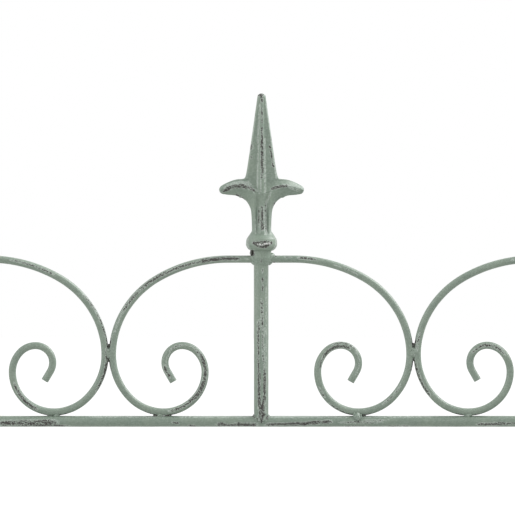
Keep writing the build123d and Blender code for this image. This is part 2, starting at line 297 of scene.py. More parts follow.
rail_along, rail_inset = cut_bar_stations(RAIL_START, RAIL_END, 2.0)
rail_middle = np.stack([rail_along, np.full_like(rail_along, RAIL_AXIS_Z)], axis=-1)
rail_up = np.tile([0.0, 1.0], (len(rail_along), 1))
rail_points, rail_straight = round_bar(rail_along, rail_middle, rail_up, RAIL_R - rail_inset, 0)

# Strokes beside the shown upright, measured along the rail from its axis; others follow by chance.
# Most are wear. The weak ones at 58 to 64 degrees paint a pale highlight along the rail's top, and the
# short ones from -11 to -6 and 6.5 to 10 mm paint shade in the notches beside the upright's foot.
shown_x = SHOWN_BAY * BAY_PITCH
rail_strokes = [
    (-28, -5, -36, -40, 3.6, 1.0), (-50, -26, -46, -44, 3.0, 0.75), (-11, -6.0, 68, 50, 0.9, 1.3),
    (6.5, 10, 44, 62, 0.9, 1.3), (4, 50, -40, -24, 3.0, 0.8), (42, 76, -24, -2, 2.4, 0.95),
    (86, 132, -10, -8, 1.4, 0.6), (92, 114, -62, -62, 1.8, 0.85), (136, 162, -60, -56, 1.6, 0.75),
    (-97, -90, -10, -20, 1.3, 1.2), (-80, -72, -54, -58, 1.8, 1.3), (-47, -40, -16, -26, 1.5, 1.3),
    (-285, -222, -22, -10, 4.6, 0.72), (-262, -210, -52, -54, 2.2, 0.75), (236, 278, -32, -20, 2.2, 0.8),
    (112, 140, 10, 14, 1.0, 0.45), (9, 96, 58, 64, 3.0, 0.30), (104, 186, 60, 58, 2.4, 0.28),
    (-92, -12, 60, 58, 2.8, 0.29), (-190, -104, 58, 62, 2.4, 0.28),
]
rail_strokes = [(shown_x + s[0], shown_x + s[1]) + s[2:] for s in rail_strokes]
rail_rng = np.random.default_rng(7)
for start, end in ((RAIL_START, shown_x - 290), (shown_x + 280, RAIL_END)):
    rail_strokes += chance_strokes(rail_rng, start, end, 26)
back_places, back_angles = rail_rng.uniform(RAIL_START, RAIL_END - 40, 12), rail_rng.uniform(-60, 60, 12)
rail_strokes += [(p, p + 40, 180 + w, 180 + w, 1.6, 0.6) for p, w in zip(back_places, back_angles)]
rail_rub = rub_on_bar(rail_along, RAIL_R, rail_strokes)
rail = closed_skins("rail_bar", [(rail_points, rail_straight, rail_rub)])
rail.data.materials.append(bar_paint)
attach(rail, "root")
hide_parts("bottom_rail")


# Uprights: 16 mm round bar, one to a bay. The lower end is coped, cut hollow to sit over the rail,
# so a rounded tongue hangs down in front and behind; the upper end is plain and sits in the spear head.

UPRIGHT_R = 8.0
UPRIGHT_TOP_Z = 234.63
UPRIGHT_COLUMNS = 32
COPE_R = RAIL_R + 0.2


def coped_bar(x, number, far_z):
    """Skin of an upright bar on the rail, from its coped end to its plain end at far_z.

    The coped end follows z = rail axis +- sqrt(cope radius^2 - y^2), or the axis where the bar is
    wider than the cope. Four rings draw in to the middle over that hollow, and three over the plain
    end. Between them the wall's rings are spread evenly. The third result is each point's height.
    """
    rng = np.random.default_rng(2000 + number)
    a = np.linspace(-math.pi, math.pi, UPRIGHT_COLUMNS, endpoint=False)[None, :]
    way = math.copysign(1.0, far_z - RAIL_AXIS_Z)
    share = np.concatenate([[0.3, 0.6, 0.85, 0.97], np.ones(96), [0.985, 0.93, 0.5]])[:, None]
    climb = np.concatenate([np.zeros(4), 0.003 + 0.994 * np.linspace(0, 1, 96), [0.9985, 1.0, 1.0]])[:, None]
    y = -UPRIGHT_R * share * np.cos(a)
    cope = RAIL_AXIS_Z + way * np.sqrt(np.clip(COPE_R ** 2 - y ** 2, 0, None))
    z = cope + (far_z - cope) * climb
    r = UPRIGHT_R * share + waver(z, a, rng, 0.07) * (share > 0.9)
    points = np.stack([x + r * np.sin(a), -r * np.cos(a), z], axis=-1)
    straight = np.stack([z + PATTERN_STEP * (20 + number), r * np.cos(a), r * np.sin(a)], axis=-1)
    return points, straight, z


# Strokes on the shown upright, by height: mostly wear. The long weak one at 40 degrees paints a pale
# highlight down its right flank, and the two short ones just over the rail paint shade in the notches
# beside it.
SHOWN_UPRIGHT = [
    (56, 98, -16, -15, 1.5, 1.1), (44, 60, -14, -3, 2.0, 0.9), (64, 98, 30, 26, 2.1, 1.1),
    (46, 68, 24, 15, 2.0, 0.95), (42, 52, 4, 9, 1.8, 1.0), (84, 118, 27, 17, 1.6, 0.6),
    (58, 152, -25, -26, 1.2, 1.05), (118, 176, 15, 8, 1.8, 0.55), (43.6, 47.0, -29, -52, 1.5, 1.4),
    (44.6, 47.2, 40, 56, 1.1, 1.4), (48, 190, 40, 42, 1.4, 0.28), (140, 176, -8, 2, 1.2, 0.45),
    (185, 190, 10, 10, 1.4, 1.0), (194, 199, 11, 11, 1.6, 1.2), (204, 208, 8, 8, 1.2, 0.9),
]
for bay in range(BAY_COUNT):
    points, straight, heights = coped_bar(bay * BAY_PITCH, bay, UPRIGHT_TOP_Z)
    rng = np.random.default_rng(300 + bay)
    strokes = chance_strokes(rng, 44, 208, 20)
    if bay == SHOWN_BAY:
        strokes = SHOWN_UPRIGHT + [s for s in strokes if abs(s[2]) > 105]
    rub_and_painted_light = rub_on_bar(heights, UPRIGHT_R, strokes, UPRIGHT_COLUMNS, 6.0)
    bar = closed_skins(f"upright_bar_{bay + 1}", [(points, straight, rub_and_painted_light)])
    bar.data.materials.append(bar_paint)
    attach(bar, "root")
    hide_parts(f"upright_{bay + 1}")


# Scrolls: 8 mm round bar, bent cold round a former and cut off square. Two to a bay, left and right.
# Each starts at the spear head's socket, touches the next bay's scroll and the rail, and ends in a curl.

SCROLL_R = 4.0
WIDEST_X = 162.4
FOOT_Z = 52.2
LEAD_IN = 35.6
# Arcs of the scroll in order, each with its radius in mm and its turn in degrees
CROWN_AND_FLANK = ((154.0, 30.0), (102.0, 30.0), (93.0, 30.0), (67.0, 45.0), (51.5, 45.0))
CURL = ((46.0, 45.0), (43.0, 45.0), (31.0, 45.0), (23.0, 45.0), (18.5, 121.0))
CURL_TAIL = 12.0
SCROLL_START = 9.4


def scroll_line(slack, eye, extra_turn, tail, rise):
    """Middle line of a right-hand scroll as functions of the length along it.

    The heading turns clockwise by 1/R for each mm of an arc of radius R, and x and z are the sums of
    its cosine and sine. The curl's radii are multiplied by slack, and the last one by eye; its last arc
    turns on by extra_turn degrees and ends in a straight tail. The two arcs of the curl's inner flank
    are stretched by the rise between them. The whole line is then placed by its widest point and its
    foot on the rail.
    """
    arcs = CROWN_AND_FLANK + tuple((radius * slack, turn) for radius, turn in CURL[:-1])
    arcs += ((CURL[-1][0] * eye, CURL[-1][1] + extra_turn),)
    lengths = [LEAD_IN] + [radius * math.radians(turn) for radius, turn in arcs] + [tail]
    lengths = np.array(lengths) + rise / 2 * np.isin(np.arange(len(lengths)), (7, 8))
    turns = [0.0] + [-math.radians(turn) for _, turn in arcs] + [0.0]
    ends = np.concatenate([[0.0], np.cumsum(lengths)])
    headings = np.concatenate([[0.0], np.cumsum(turns)])
    fine = np.linspace(0, ends[-1], 20001)
    heading = np.interp(fine, ends, headings)
    step = fine[1]
    middle = (heading[1:] + heading[:-1]) / 2
    x = np.concatenate([[0.0], np.cumsum(np.cos(middle)) * step])
    z = np.concatenate([[0.0], np.cumsum(np.sin(middle)) * step])
    x += WIDEST_X - x.max()
    z += FOOT_Z - z.min()
    return fine, x, z, heading


# Strokes on the four scrolls that the photograph shows, by the length along each from the socket.
# Most are wear; the weak ones of force 0.27 to 0.4 paint pale highlight lines along the bars.
SHOWN_LEFT = [
    (25, 66, 9, 9, 2.6, 1.15), (58, 92, 2, 8, 1.9, 0.8), (84, 136, 10, 16, 2.4, 0.7),
    (104, 136, 34, 30, 1.0, 0.75), (128, 172, 30, 26, 1.1, 0.85), (132, 168, 4, 2, 0.8, 0.6),
    (318, 350, -12, -20, 1.9, 0.9), (344, 374, -20, -2, 2.3, 0.9), (366, 402, 0, 12, 2.9, 0.85),
    (350, 374, 26, 20, 1.0, 0.9), (392, 408, 8, 10, 1.6, 0.6), (424, 438, 4, 0, 1.6, 0.5),
    (146, 196, 16, 8, 1.2, 0.3), (404, 424, 22, 14, 1.2, 0.3), (436, 462, -24, -20, 1.4, 0.27),
    (456, 470, 14, 10, 2.0, 1.0), (14, 18, -2, 0, 0.8, 0.5), (290, 318, 66, 70, 1.8, 0.9),
]
SHOWN_RIGHT = [
    (41, 59, 20, 20, 1.6, 1.15), (252, 284, -30, -26, 1.2, 0.3), (440, 470, 8, 12, 1.3, 0.3),
    (26, 33, 32, 32, 1.1, 0.75), (13, 17, 62, 62, 1.6, 1.2), (12.5, 16, -64, -64, 1.4, 1.1),
    (256, 282, -26, -22, 0.9, 0.8), (398, 434, -24, -12, 1.9, 1.05), (416, 440, 40, 36, 1.2, 1.1),
    (384, 402, -34, -22, 1.1, 0.8), (352, 364, 26, 30, 1.2, 0.75), (322, 346, 44, 40, 1.1, 0.65),
    (296, 322, 72, 66, 1.6, 0.9), (80, 110, 5, 2, 1.0, 0.4),
]
NEXT_LEFT = [
    (226, 264, 44, 38, 2.2, 1.0), (194, 214, 8, 8, 1.4, 0.6), (402, 442, -4, 4, 1.9, 0.7),
    (14, 60, 10, 14, 1.5, 0.6),
]
NEXT_RIGHT = [
    (148, 198, 40, 44, 1.7, 0.85), (212, 258, 34, 38, 2.2, 0.9), (330, 368, 4, -8, 1.9, 1.0),
    (60, 110, 12, 10, 1.6, 0.6),
]
SEEN_STROKES = {
    (0, "left"): SHOWN_LEFT, (0, "right"): SHOWN_RIGHT, (1, "left"): NEXT_LEFT, (-1, "right"): NEXT_RIGHT}

# Painted shade: strokes that darken the scrolls to the colour of bare iron in the crevices on both sides
# of the welds to the next bay and to the rail, in front and behind
JOINT_CREVICE_SHADE = [
    (200, 212, 72, 72, 2.6, 1.3), (224, 236, 72, 72, 2.6, 1.3), (297, 306, 76, 76, 2.6, 1.2),
    (316, 325, 76, 76, 2.6, 1.2),
]
JOINT_CREVICE_SHADE += [(s[0], s[1], 180 - s[2], 180 - s[3]) + s[4:] for s in JOINT_CREVICE_SHADE]

# Slack, eye, extra turn, tail and rise of the shown bay's two curls, which differ a little
SHOWN_CURLS = {"left": (1.0, 1.0, -1.0, 13.6, 0.0), "right": (0.982, 1.05, -1.0, 12.4, 1.9)}

number = 40
for bay in range(BAY_COUNT):
    for side, way in (("left", -1.0), ("right", 1.0)):
        rng = np.random.default_rng(500 + number)
        slack, eye = rng.uniform(0.992, 1.008), rng.uniform(0.97, 1.03)
        curl = (slack, eye, rng.uniform(-4, 4), CURL_TAIL + rng.uniform(-1, 1), 0.0)
        fine, x, z, heading = scroll_line(*(SHOWN_CURLS[side] if bay == SHOWN_BAY else curl))
        along, inset = cut_bar_stations(SCROLL_START, fine[-1], 1.6)
        x, z, heading = np.interp(along, fine, x), np.interp(along, fine, z), np.interp(along, fine, heading)
        line = np.stack([bay * BAY_PITCH + way * x, z], axis=-1)
        outward = np.stack([-way * np.sin(heading), np.cos(heading)], axis=-1)
        points, straight = round_bar(along, line, outward, SCROLL_R - inset, number, 20, 0.05)
        strokes = chance_strokes(rng, 30, fine[-1] - 8, 42)
        if abs(bay - SHOWN_BAY) < 2:
            others = chance_strokes(rng, 30, fine[-1] - 8, 60)
            strokes = [s for s in strokes if abs(s[2]) > 105]
            strokes += SEEN_STROKES.get((bay - SHOWN_BAY, side), others)
        rub_and_painted_light = rub_on_bar(along, SCROLL_R, strokes + JOINT_CREVICE_SHADE, 20)
        bar = closed_skins(f"scroll_bar_{bay + 1}_{side}", [(points, straight, rub_and_painted_light)])
        bar.data.materials.append(bar_paint)
        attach(bar, "root")
        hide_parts(f"scroll_{bay + 1}_{side}")
        number += 1


# Spear heads: one iron casting to a bay, poured in a two-part sand mould, so front and back are alike.
# A socket with a rolled collar slips over the upright; above it are a ribbed stem, two leaves and a blade.

# Heights named _H are over the collar's top, as are those of the leaf's points. Radii and half widths
# are from the casting's middle line. The leaf's lists have one value for each of its points.
COLLAR_TOP_Z = 250.13
SOCKET_R = 10.7
MOUTH_INSET = 2.3
MOUTH_START, MOUTH_END = 29.0, 37.5
ROLL_H, ROLL_R = -14.6, 17.05
ROLL_BULGE, ROLL_DEPTH = 6.4, 7.4
CONE_TOP_R, CONE_SLOPE = 10.3, 0.72
LEAF_POINTS = ((7.2, -3.0), (7.5, 16.0), (8.6, 28.6), (12.2, 40.1), (22.6, 46.9), (35.6, 45.9), (41.6, 44.8))
LEAF_SLOPES = (90.0, 88.0, 68.0, 42.0, 16.0, -12.0, -20.0)
LEAF_HALF_WIDTHS = (3.2, 3.3, 4.5, 8.8, 9.3, 6.7, 4.7)
LEAF_HALF_DEPTHS = (5.8, 5.8, 6.8, 8.0, 7.6, 6.2, 4.4)
LEAF_RIDGES = (0.0, 0.0, 0.12, 0.42, 0.2, 0.16, 0.1)
BLADE_BASE_H, BLADE_TOP_H, BLADE_TAPER = 43.0, 149.2, 103.1
BLADE_BASE_HALF, BLADE_TIP_HALF = 19.0, 4.55
RIB_TAPER = 103.0
TIP_H, TIP_R = 145.8, 4.15
CASTING_TURNS = (-2.0, 2.5, 5.0, -3.0, 1.0, -4.0)
CASTING_SHIFT = 0.45


def soft_max(a, b, blend):
    """The larger of two heights with their corner rounded: (a + b + sqrt((a - b)^2 + blend^2)) / 2."""
    return (a + b + np.sqrt((a - b) ** 2 + blend ** 2)) / 2


def soft_step(value, low, high):
    """0 below low, 1 above high and 3t^2 - 2t^3 between them."""
    t = np.clip((value - low) / (high - low), 0, 1)
    return t * t * (3 - 2 * t)


def quarter(inside, reach):
    """Rounded edge: a quarter circle from 0 at the outline to 1 at reach inside it."""
    return np.sqrt(np.clip(1 - (1 - np.clip(inside / reach, 0, 1)) ** 2, 0, 1))


def leaf_line():
    """Middle line of the right-hand leaf, a cubic between each two stations with the slopes given there.

    Half width, half depth and the ridge's place run straight between stations. All of them, and the
    line itself, are averaged over 17 points, with both ends kept in place.
    """
    t = np.linspace(0, 1, 20, endpoint=False)[:, None]
    pieces = []
    for k in range(len(LEAF_POINTS) - 1):
        p, q = np.array(LEAF_POINTS[k]), np.array(LEAF_POINTS[k + 1])
        chord = np.linalg.norm(q - p)
        u, v = (np.array([math.cos(math.radians(s)), math.sin(math.radians(s))]) * chord
                for s in LEAF_SLOPES[k:k + 2])
        pieces.append((2 * t ** 3 - 3 * t ** 2 + 1) * p + (t ** 3 - 2 * t ** 2 + t) * u
                      + (3 * t ** 2 - 2 * t ** 3) * q + (t ** 3 - t ** 2) * v)
    line = np.vstack(pieces + [np.array(LEAF_POINTS[-1:])])
    place = np.linspace(0, len(LEAF_POINTS) - 1, len(line))
    stations = np.arange(len(LEAF_POINTS))
    values = [line[:, 0], line[:, 1]]
    values += [np.interp(place, stations, v) for v in (LEAF_HALF_WIDTHS, LEAF_HALF_DEPTHS, LEAF_RIDGES)]
    x, h, widths, depths, ridges = (
        np.convolve(np.pad(v, 8, mode="reflect", reflect_type="odd"), np.ones(17) / 17, mode="valid")
        for v in values)
    line = np.stack([x, h], axis=-1)
    run = np.gradient(line, axis=0)
    run /= np.linalg.norm(run, axis=1)[:, None]
    return line, widths, depths, ridges, np.stack([-run[:, 1], run[:, 0]], axis=-1)


def collar_radius(h):
    """Radius of the socket, the rolled collar and the cone over it, by height over the collar's top.

    The roll bulges by (1 - |t|^1.8)^0.6 below its widest point and by a shallow parabola above it,
    the cone cuts its top off in a straight line up to the stem, and the socket's mouth is rounded in.
    """
    t = np.clip((ROLL_H - h) / ROLL_DEPTH, 0, 1)
    socket = SOCKET_R - MOUTH_INSET * soft_step(-h, MOUTH_START, MOUTH_END)
    under = socket + ROLL_BULGE * (1 - t ** 1.8) ** 0.6
    roll = np.where(h < ROLL_H, under, ROLL_R - 0.3 * ((h - ROLL_H) / 6) ** 2)
    cone = CONE_TOP_R - CONE_SLOPE * h
    return np.where(h > ROLL_H, -soft_max(-roll, -cone, 0.9), roll)


def casting_front(x, h):
    """Outline field and half thickness of the casting at the distance x from its middle and the height h.

    The field is the distance in from the outline, largest over blade, leaf, stem, collar and tip.
    The half thickness is the largest of the same forms' own, each rounded to nothing at its edge. On
    the blade they are a wedge, bevelled at its edges, with a rib up its middle. The stem's rib forks
    into two below a curved brow, which runs from leaf to leaf, and its foot flares out to the collar.
    """
    x = np.abs(x)
    line, widths, depths, ridges, normals = leaf_line()
    apart = np.stack([x[..., None] - line[:, 0], h[..., None] - line[:, 1]], axis=-1)
    reach = widths - np.linalg.norm(apart, axis=-1)
    best = reach.argmax(axis=-1)
    in_leaf = reach.max(axis=-1)
    off = np.take_along_axis((apart * normals).sum(-1), best[..., None], -1)[..., 0] / widths[best]
    ridge = ridges[best]
    slope = np.where(off > ridge, (off - ridge) / (1 - ridge), (ridge - off) / (1 + ridge))
    leaf = depths[best] * (1 - 0.94 * np.clip(slope, 0, 1) ** 1.25) * quarter(in_leaf, 1.6)
    flare = 2.4 * soft_step(-h, -8, 5)
    leaf = (leaf + flare * quarter(in_leaf, 1.6)) * soft_step(h, -14, -6)

    blade_half = BLADE_BASE_HALF - (BLADE_BASE_HALF - BLADE_TIP_HALF) * (h - BLADE_BASE_H) / BLADE_TAPER
    in_blade = np.where(h > 36, -soft_max(x - blade_half, h - BLADE_TOP_H, 1.6), -40.0)
    wedge = 3.4 - x / blade_half
    bevel = 0.6 + 1.5 * np.clip(in_blade, 0, 3)
    blade = -soft_max(-wedge, -bevel, 0.15) * quarter(in_blade, 0.5) * soft_step(h, 30, 42)
    brow_h = 39.6 + 5.6 * np.clip(x / 12.5, 0, 1) ** 0.8
    up = np.clip((h - BLADE_BASE_H) / RIB_TAPER, 0, 1)
    q = x / (1 - 0.45 * up)
    rib = (7.9 - 2.7 * up - 0.2 * q - np.clip(q - 1.9, 0, 2.4)) * quarter(5.2 - q, 0.4)
    rib *= soft_step(h - brow_h, -5, 0.5) * soft_step(149.0 - h, 0, 6)
    in_tip = TIP_R - np.sqrt(x ** 2 + (h - TIP_H) ** 2)
    tip = TIP_R * quarter(in_tip, TIP_R)

    in_stem = np.where((h < 44) & (h > -6), 6.0 + 2.2 * soft_step(h, 20, 40) - x, -5.0)
    core = (5.0 + flare) * quarter(in_stem, 1.0) * soft_step(47 - h, 0, 9)
    fork = 4.4 + 0.115 * np.clip(h - 28, 0, 16) ** 1.6
    q = x * 4.4 / fork
    crest = 8.6 - 1.6 * soft_step(h, 0, 34) + flare
    stem_rib = (crest - 0.15 * q - 0.85 * np.clip(q - 2.0, 0, 3)) * quarter(fork + 0.2 - x, 0.8)
    stem_rib *= soft_step(45 - h, 0, 5) * (h > -12)
    brow = 6.4 + 0.5 * np.clip(x / 8, 0, 1) - 0.8 * np.abs(h - brow_h) - 0.5 * np.clip(x - 12.5, 0, 9)
    brow *= soft_step(np.abs(h - brow_h), 7.0, 4.5)

    radius = collar_radius(h)
    in_collar = np.where(h < 1.0, radius - x, -5.0)
    collar = np.where(h < 1.0, radius, 0) * quarter(in_collar, radius) * (1 - 0.3 * soft_step(h, -9, -2))

    field = soft_max(in_leaf, in_blade, 4.2)
    for part in (in_stem, in_collar, in_tip):
        field = soft_max(field, part, 0.5)
    thick = soft_max(leaf, soft_max(blade, rib, 0.5), 0.8)
    thick = soft_max(thick, core, 0.6)
    thick = soft_max(thick, stem_rib, 0.4)
    thick = soft_max(thick, brow, 0.5)
    thick = soft_max(thick, tip, 0.5)
    thick = np.where(h < 0.5, soft_max(thick, collar, 0.7 * soft_step(h, -8, -2) + 0.05), thick)
    thick = np.maximum(thick, 1.6 * (h > -2))
    return field, thick * quarter(field, 0.3 + 1.2 * soft_step(h, -6, 4))


def head_rows(count):
    """Heights of the casting's rows and its half width there, at even steps along the outline.

    The outline is where the field falls to zero along a row. It is looked for at many heights where it
    bends, up to the leaves' top and round the tip, and at fewer on the straight blade between them.
    """
    low, blade, tip = (-MOUTH_END, 62, 700), (62.4, 146, 120), (146.1, 150.4, 60)
    h = np.concatenate([np.linspace(*span) for span in (low, blade, tip)])
    x = np.linspace(0, 50, 251)
    field = np.concatenate([casting_front(*np.meshgrid(x, part))[0] for part in np.array_split(h, 12)])
    h, field = h[field[:, 0] > 0.02], field[field[:, 0] > 0.02]
    last = field.shape[1] - 1 - (field[:, ::-1] > 0).argmax(axis=1)
    rows = np.arange(len(h))
    inner, outer = field[rows, last], field[rows, last + 1]
    half = x[last] + (x[1] - x[0]) * inner / (inner - outer)
    run = np.concatenate([[0.0], np.cumsum(np.hypot(np.diff(h), np.diff(half)))])
    even = np.linspace(0, run[-1], count)
    return np.interp(even, run, h), np.interp(even, run, half)


# Grid of the casting: each row is a ring, from the left edge over the front to the right one and back
# behind. A quarter of its columns goes from the middle to an edge. On a narrow row they are spaced like
# points on a circle. On a row as wide as the leaves, most of them keep to the stem and the ribs, within
# the first 15 mm, and the others spread out over the leaf and draw together at its edge.
HEAD_ROWS, HEAD_QUARTER = 430, 26
STEM_REACH, WIDE_HALF = 15.0, 26.0
row_h, row_half = head_rows(HEAD_ROWS)
u = np.arange(HEAD_QUARTER) / HEAD_QUARTER
narrow = np.sin(u * math.pi / 2)
near = 0.86 * np.clip(u / 0.62, 0, 1) + 0.14 * narrow
wide = np.where(u > 0.5, np.sin((u - 0.5) * math.pi), 0)
inner = np.minimum(row_half, STEM_REACH)[:, None]
outer = np.maximum(row_half - STEM_REACH, 0)[:, None]
spread = soft_step(row_half, STEM_REACH, WIDE_HALF)[:, None]
right = inner * (narrow * (1 - spread) + near * spread) + outer * wide
edge = row_half[:, None]
head_x = np.concatenate([-edge, -right[:, :0:-1], right, edge, right[:, :0:-1], -right], axis=1)
front = np.concatenate([np.ones(2 * HEAD_QUARTER), -np.ones(2 * HEAD_QUARTER)])
head_h = np.broadcast_to(row_h[:, None], head_x.shape)
bands = [slice(k, k + 40) for k in range(0, HEAD_ROWS, 40)]
head_thick = np.concatenate([casting_front(head_x[band], head_h[band])[1] for band in bands])
head_thick[:, [0, 2 * HEAD_QUARTER]] = 0
head_thick[-1] *= 0.5

# Rubbed places, painted highlights and painted shade of the shown head, as lines (x, h, x, h, half width,
# force) on its front. A force near 1 wears through to the iron, one above 4 paints a near-white glint on
# the iron, and one of about 0.3 bares only the undercoat. Most weak lines, along the ribs, bevels, stem
# and the collar's edges, are painted highlights, and the line in the neck under the collar's left side
# is painted shade.
SHOWN_HEAD = [
    (0, 66, 0, 98, 1.6, 1.3), (0, 58, 0, 68, 1.3, 0.8), (0, 98, 0, 112, 1.2, 0.8),
    (0, 118, 0, 134, 1.1, 0.6), (-2.8, 148.0, 0.8, 149.2, 1.8, 1.1), (-0.6, 146.5, 0.2, 141.0, 1.4, 1.0),
    (-11.0, 93.5, -11.3, 89.5, 1.8, 0.75), (-11.3, 80.5, -11.1, 79.5, 1.3, 0.95),
    (8.8, 92.5, 9.5, 90.8, 1.2, 1.1), (9.6, 87, 11.6, 76, 1.1, 0.7), (11.8, 73, 12.6, 70.5, 1.2, 1.0),
    (-41.5, 43.2, -34, 46.0, 1.4, 1.0), (-39, 46.2, -31, 48.4, 1.7, 1.0), (-31, 48.4, -21, 48.8, 2.4, 1.25),
    (-21, 48.8, -13, 46.8, 2.1, 1.15), (-13, 46.8, -8.6, 43.6, 1.5, 1.0), (11.4, 45.6, 18, 48.0, 1.6, 1.15),
    (18, 48.0, 27, 49.0, 1.5, 1.1), (0, 2, 0, 12, 1.8, 1.2), (0, 12, 0, 26, 1.3, 0.85),
    (-3.6, 6, -3.6, 22, 0.9, 0.8), (-9.6, -13.6, -4, -16.6, 1.7, 1.2), (-4, -16.8, 3, -17.2, 1.8, 1.3),
    (3, -16.6, 9.4, -13.4, 1.7, 1.2), (9.2, -13.4, 3.7, -11.9, 1.3, 1.1),
    (-6.4, -13.0, 3.7, -11.9, 1.2, 1.05), (-5.0, -14.7, -0.6, -14.9, 1.6, 5.4),
    (1.0, -14.4, 7.6, -13.8, 1.2, 4.8), (-7, -14, 8, -14, 2.6, 0.36), (-10.2, -22.0, -9.4, -26.0, 1.5, 1.2),
    (-25, 38.4, -16.4, 31.2, 1.2, 0.7), (13.2, 27.0, 14.6, 30.6, 1.1, 0.6), (-5.4, 43, -3.2, 120, 0.9, 0.3),
    (-1.5, 43, -1.3, 96, 0.7, 0.28), (3.4, 42, 3.0, 100, 1.3, 0.34), (-4.6, 96, -2.4, 138, 1.3, 0.3),
    (-16.6, 46, -15.2, 54, 0.9, 0.3), (16.9, 50, 11.0, 96, 1.0, 0.32), (-13.2, 84, -7.4, 124, 0.9, 0.28),
    (11.0, 96, 5.0, 138, 0.9, 0.3), (3.7, 30, 3.7, -3.5, 1.9, 0.38), (4.2, 30, 9.2, 41, 1.3, 0.32),
    (-3.2, 4, -3.2, 26, 0.7, 0.3), (-7.0, -3, -6.8, 12, 1.0, 0.28), (-5.6, 44.4, -3.0, 40.4, 0.7, 0.3),
    (9.8, -2, 10.4, 4, 0.9, 0.34), (-38.5, 49, -30, 51.8, 1.7, 0.3), (-30, 51.8, -22, 53, 1.9, 0.3),
    (-22, 53, -13, 50.5, 2.0, 0.28), (24, 50, 40, 44, 2.2, 0.27), (-27.6, 38.9, -24.2, 38.5, 1.1, 0.9),
    (-15.4, -9.6, -15.6, -15.8, 0.9, 0.4), (-15.6, -15.8, -12.6, -21.0, 0.9, 0.36),
    (14.6, -7.6, 15.6, -13.0, 1.3, 0.42), (15.6, -13.0, 13.4, -19.4, 1.3, 0.4),
    (-1.0, -31, -1.4, -34, 0.8, 0.9),
]


def rub_on_casting(x, h, lines):
    """How far the casting's paint is rubbed, and where highlights and shade are painted: each line's force
    falls with the square of the distance to it.
    """
    rub_and_painted_light = np.zeros(x.shape)
    for x0, h0, x1, h1, half_width, force in lines:
        length = max((x1 - x0) ** 2 + (h1 - h0) ** 2, 1e-6)
        t = np.clip(((x - x0) * (x1 - x0) + (h - h0) * (h1 - h0)) / length, 0, 1)
        away = np.hypot(x - x0 - t * (x1 - x0), h - h0 - t * (h1 - h0)) / (half_width * 1.25)
        rub_and_painted_light = np.maximum(rub_and_painted_light, force * np.clip(1 - away ** 2, 0, 1))
    return rub_and_painted_light


def other_lines(rng):
    """The same lines for another face, their painted highlights, glints and shade among them: mirrored or not,
    moved a little, more or less worn.

    Those on the blade move farther, and a fifth of them is left out.
    """
    mirror = rng.choice([-1.0, 1.0])
    lines = []
    for x0, h0, x1, h1, half_width, force in SHOWN_HEAD:
        under_blade = h0 < 55
        move = rng.uniform(-1.5, 1.5) if under_blade else rng.uniform(-14, 3)
        if rng.uniform() < 0.8 or under_blade:
            force = min(1.0, force * rng.uniform(0.55, 1.1))
            lines.append((mirror * x0, h0 + move, mirror * x1, h1 + move, half_width, force))
    return lines


# Satin paint on sand-cast iron: the mould's fine sand leaves a grainy skin under the paint,
# which is rubbed through first on the ridges and the roll of the collar.
cast_paint = rubbed_paint("Satin green paint on sand-cast iron", False, (1.6, 1.6, 4.5), 1.1, 0.06, 0.42)

for bay in range(BAY_COUNT):
    rng = np.random.default_rng(800 + bay)
    dents = waver(head_h, head_x / 6, rng, 0.10, (41.0, 17.0, 9.0)) * soft_step(head_thick, 0.5, 2.5)
    y = -front * (head_thick + dents)
    turn = math.radians(CASTING_TURNS[bay])
    x = head_x * math.cos(turn) - y * math.sin(turn)
    depth = head_x * math.sin(turn) + y * math.cos(turn)
    x = x + (CASTING_SHIFT if bay == SHOWN_BAY else rng.uniform(-CASTING_SHIFT, CASTING_SHIFT))
    points = np.stack([bay * BAY_PITCH + x, depth, COLLAR_TOP_Z + head_h], axis=-1)
    front_lines = SHOWN_HEAD if bay == SHOWN_BAY else other_lines(rng)
    front_rub = rub_on_casting(head_x, head_h, front_lines)
    back_rub = rub_on_casting(head_x, head_h, other_lines(rng))
    rub_and_painted_light = np.where(front > 0, front_rub, back_rub)
    head = closed_skins(f"cast_head_{bay + 1}", [(points, points, rub_and_painted_light)])
    head.data.materials.append(cast_paint)
    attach(head, "root")
    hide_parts(f"spear_head_{bay + 1}")


# Welds: hand-run beads of weld metal where the bars meet, left as they froze and painted over.
# Each joint has its own lumps: a ring round the upright's foot, a collar where a scroll meets the
# socket, and short lumps under the scroll's foot and between two bays, with painted shade beside them:
# crevices drawn dark as bare iron.

# Height of a scroll's arm where it meets the socket, height where the scrolls of two bays touch, and
# distance of a scroll's foot on the rail from the upright's axis
ARM_Z = 219.13
CONTACT_Z = 114.66
FOOT_X = 106.36
RING_R = 8.1
SADDLE_R, SADDLE_REACH = 6.3, 6.7
BEAD_R = 1.1


def ripples(u, v, rng, reach):
    """Frozen ripples of a weld: a few waves in both directions, which die away at the two ends."""
    total = 0.0
    for m, n in ((2, 1), (3, 4), (5, 3), (1, 6)):
        total = total + np.cos(m * u + rng.uniform(0, 6.3)) * np.cos(n * v + rng.uniform(0, 6.3))
    return 1 + reach * total / 2 * np.cos(v)


def weld_lump(centre, size, rng, reach=0.14, bare=0.12):
    """Lump of weld metal: centre + size * (cos u cos v, sin u cos v, sin v), pushed in and out by ripples."""
    u = np.linspace(0, 2 * math.pi, 28, endpoint=False)[None, :]
    v = np.linspace(-1.5, 1.5, 23)[:, None]
    push = ripples(u, v, rng, reach)
    ball = np.stack([np.cos(u) * np.cos(v), np.sin(u) * np.cos(v), np.sin(v) + 0 * u], axis=-1)
    points = np.array(centre) + ball * np.array(size) * push[..., None]
    return points, points, np.full(points.shape[:2], bare)


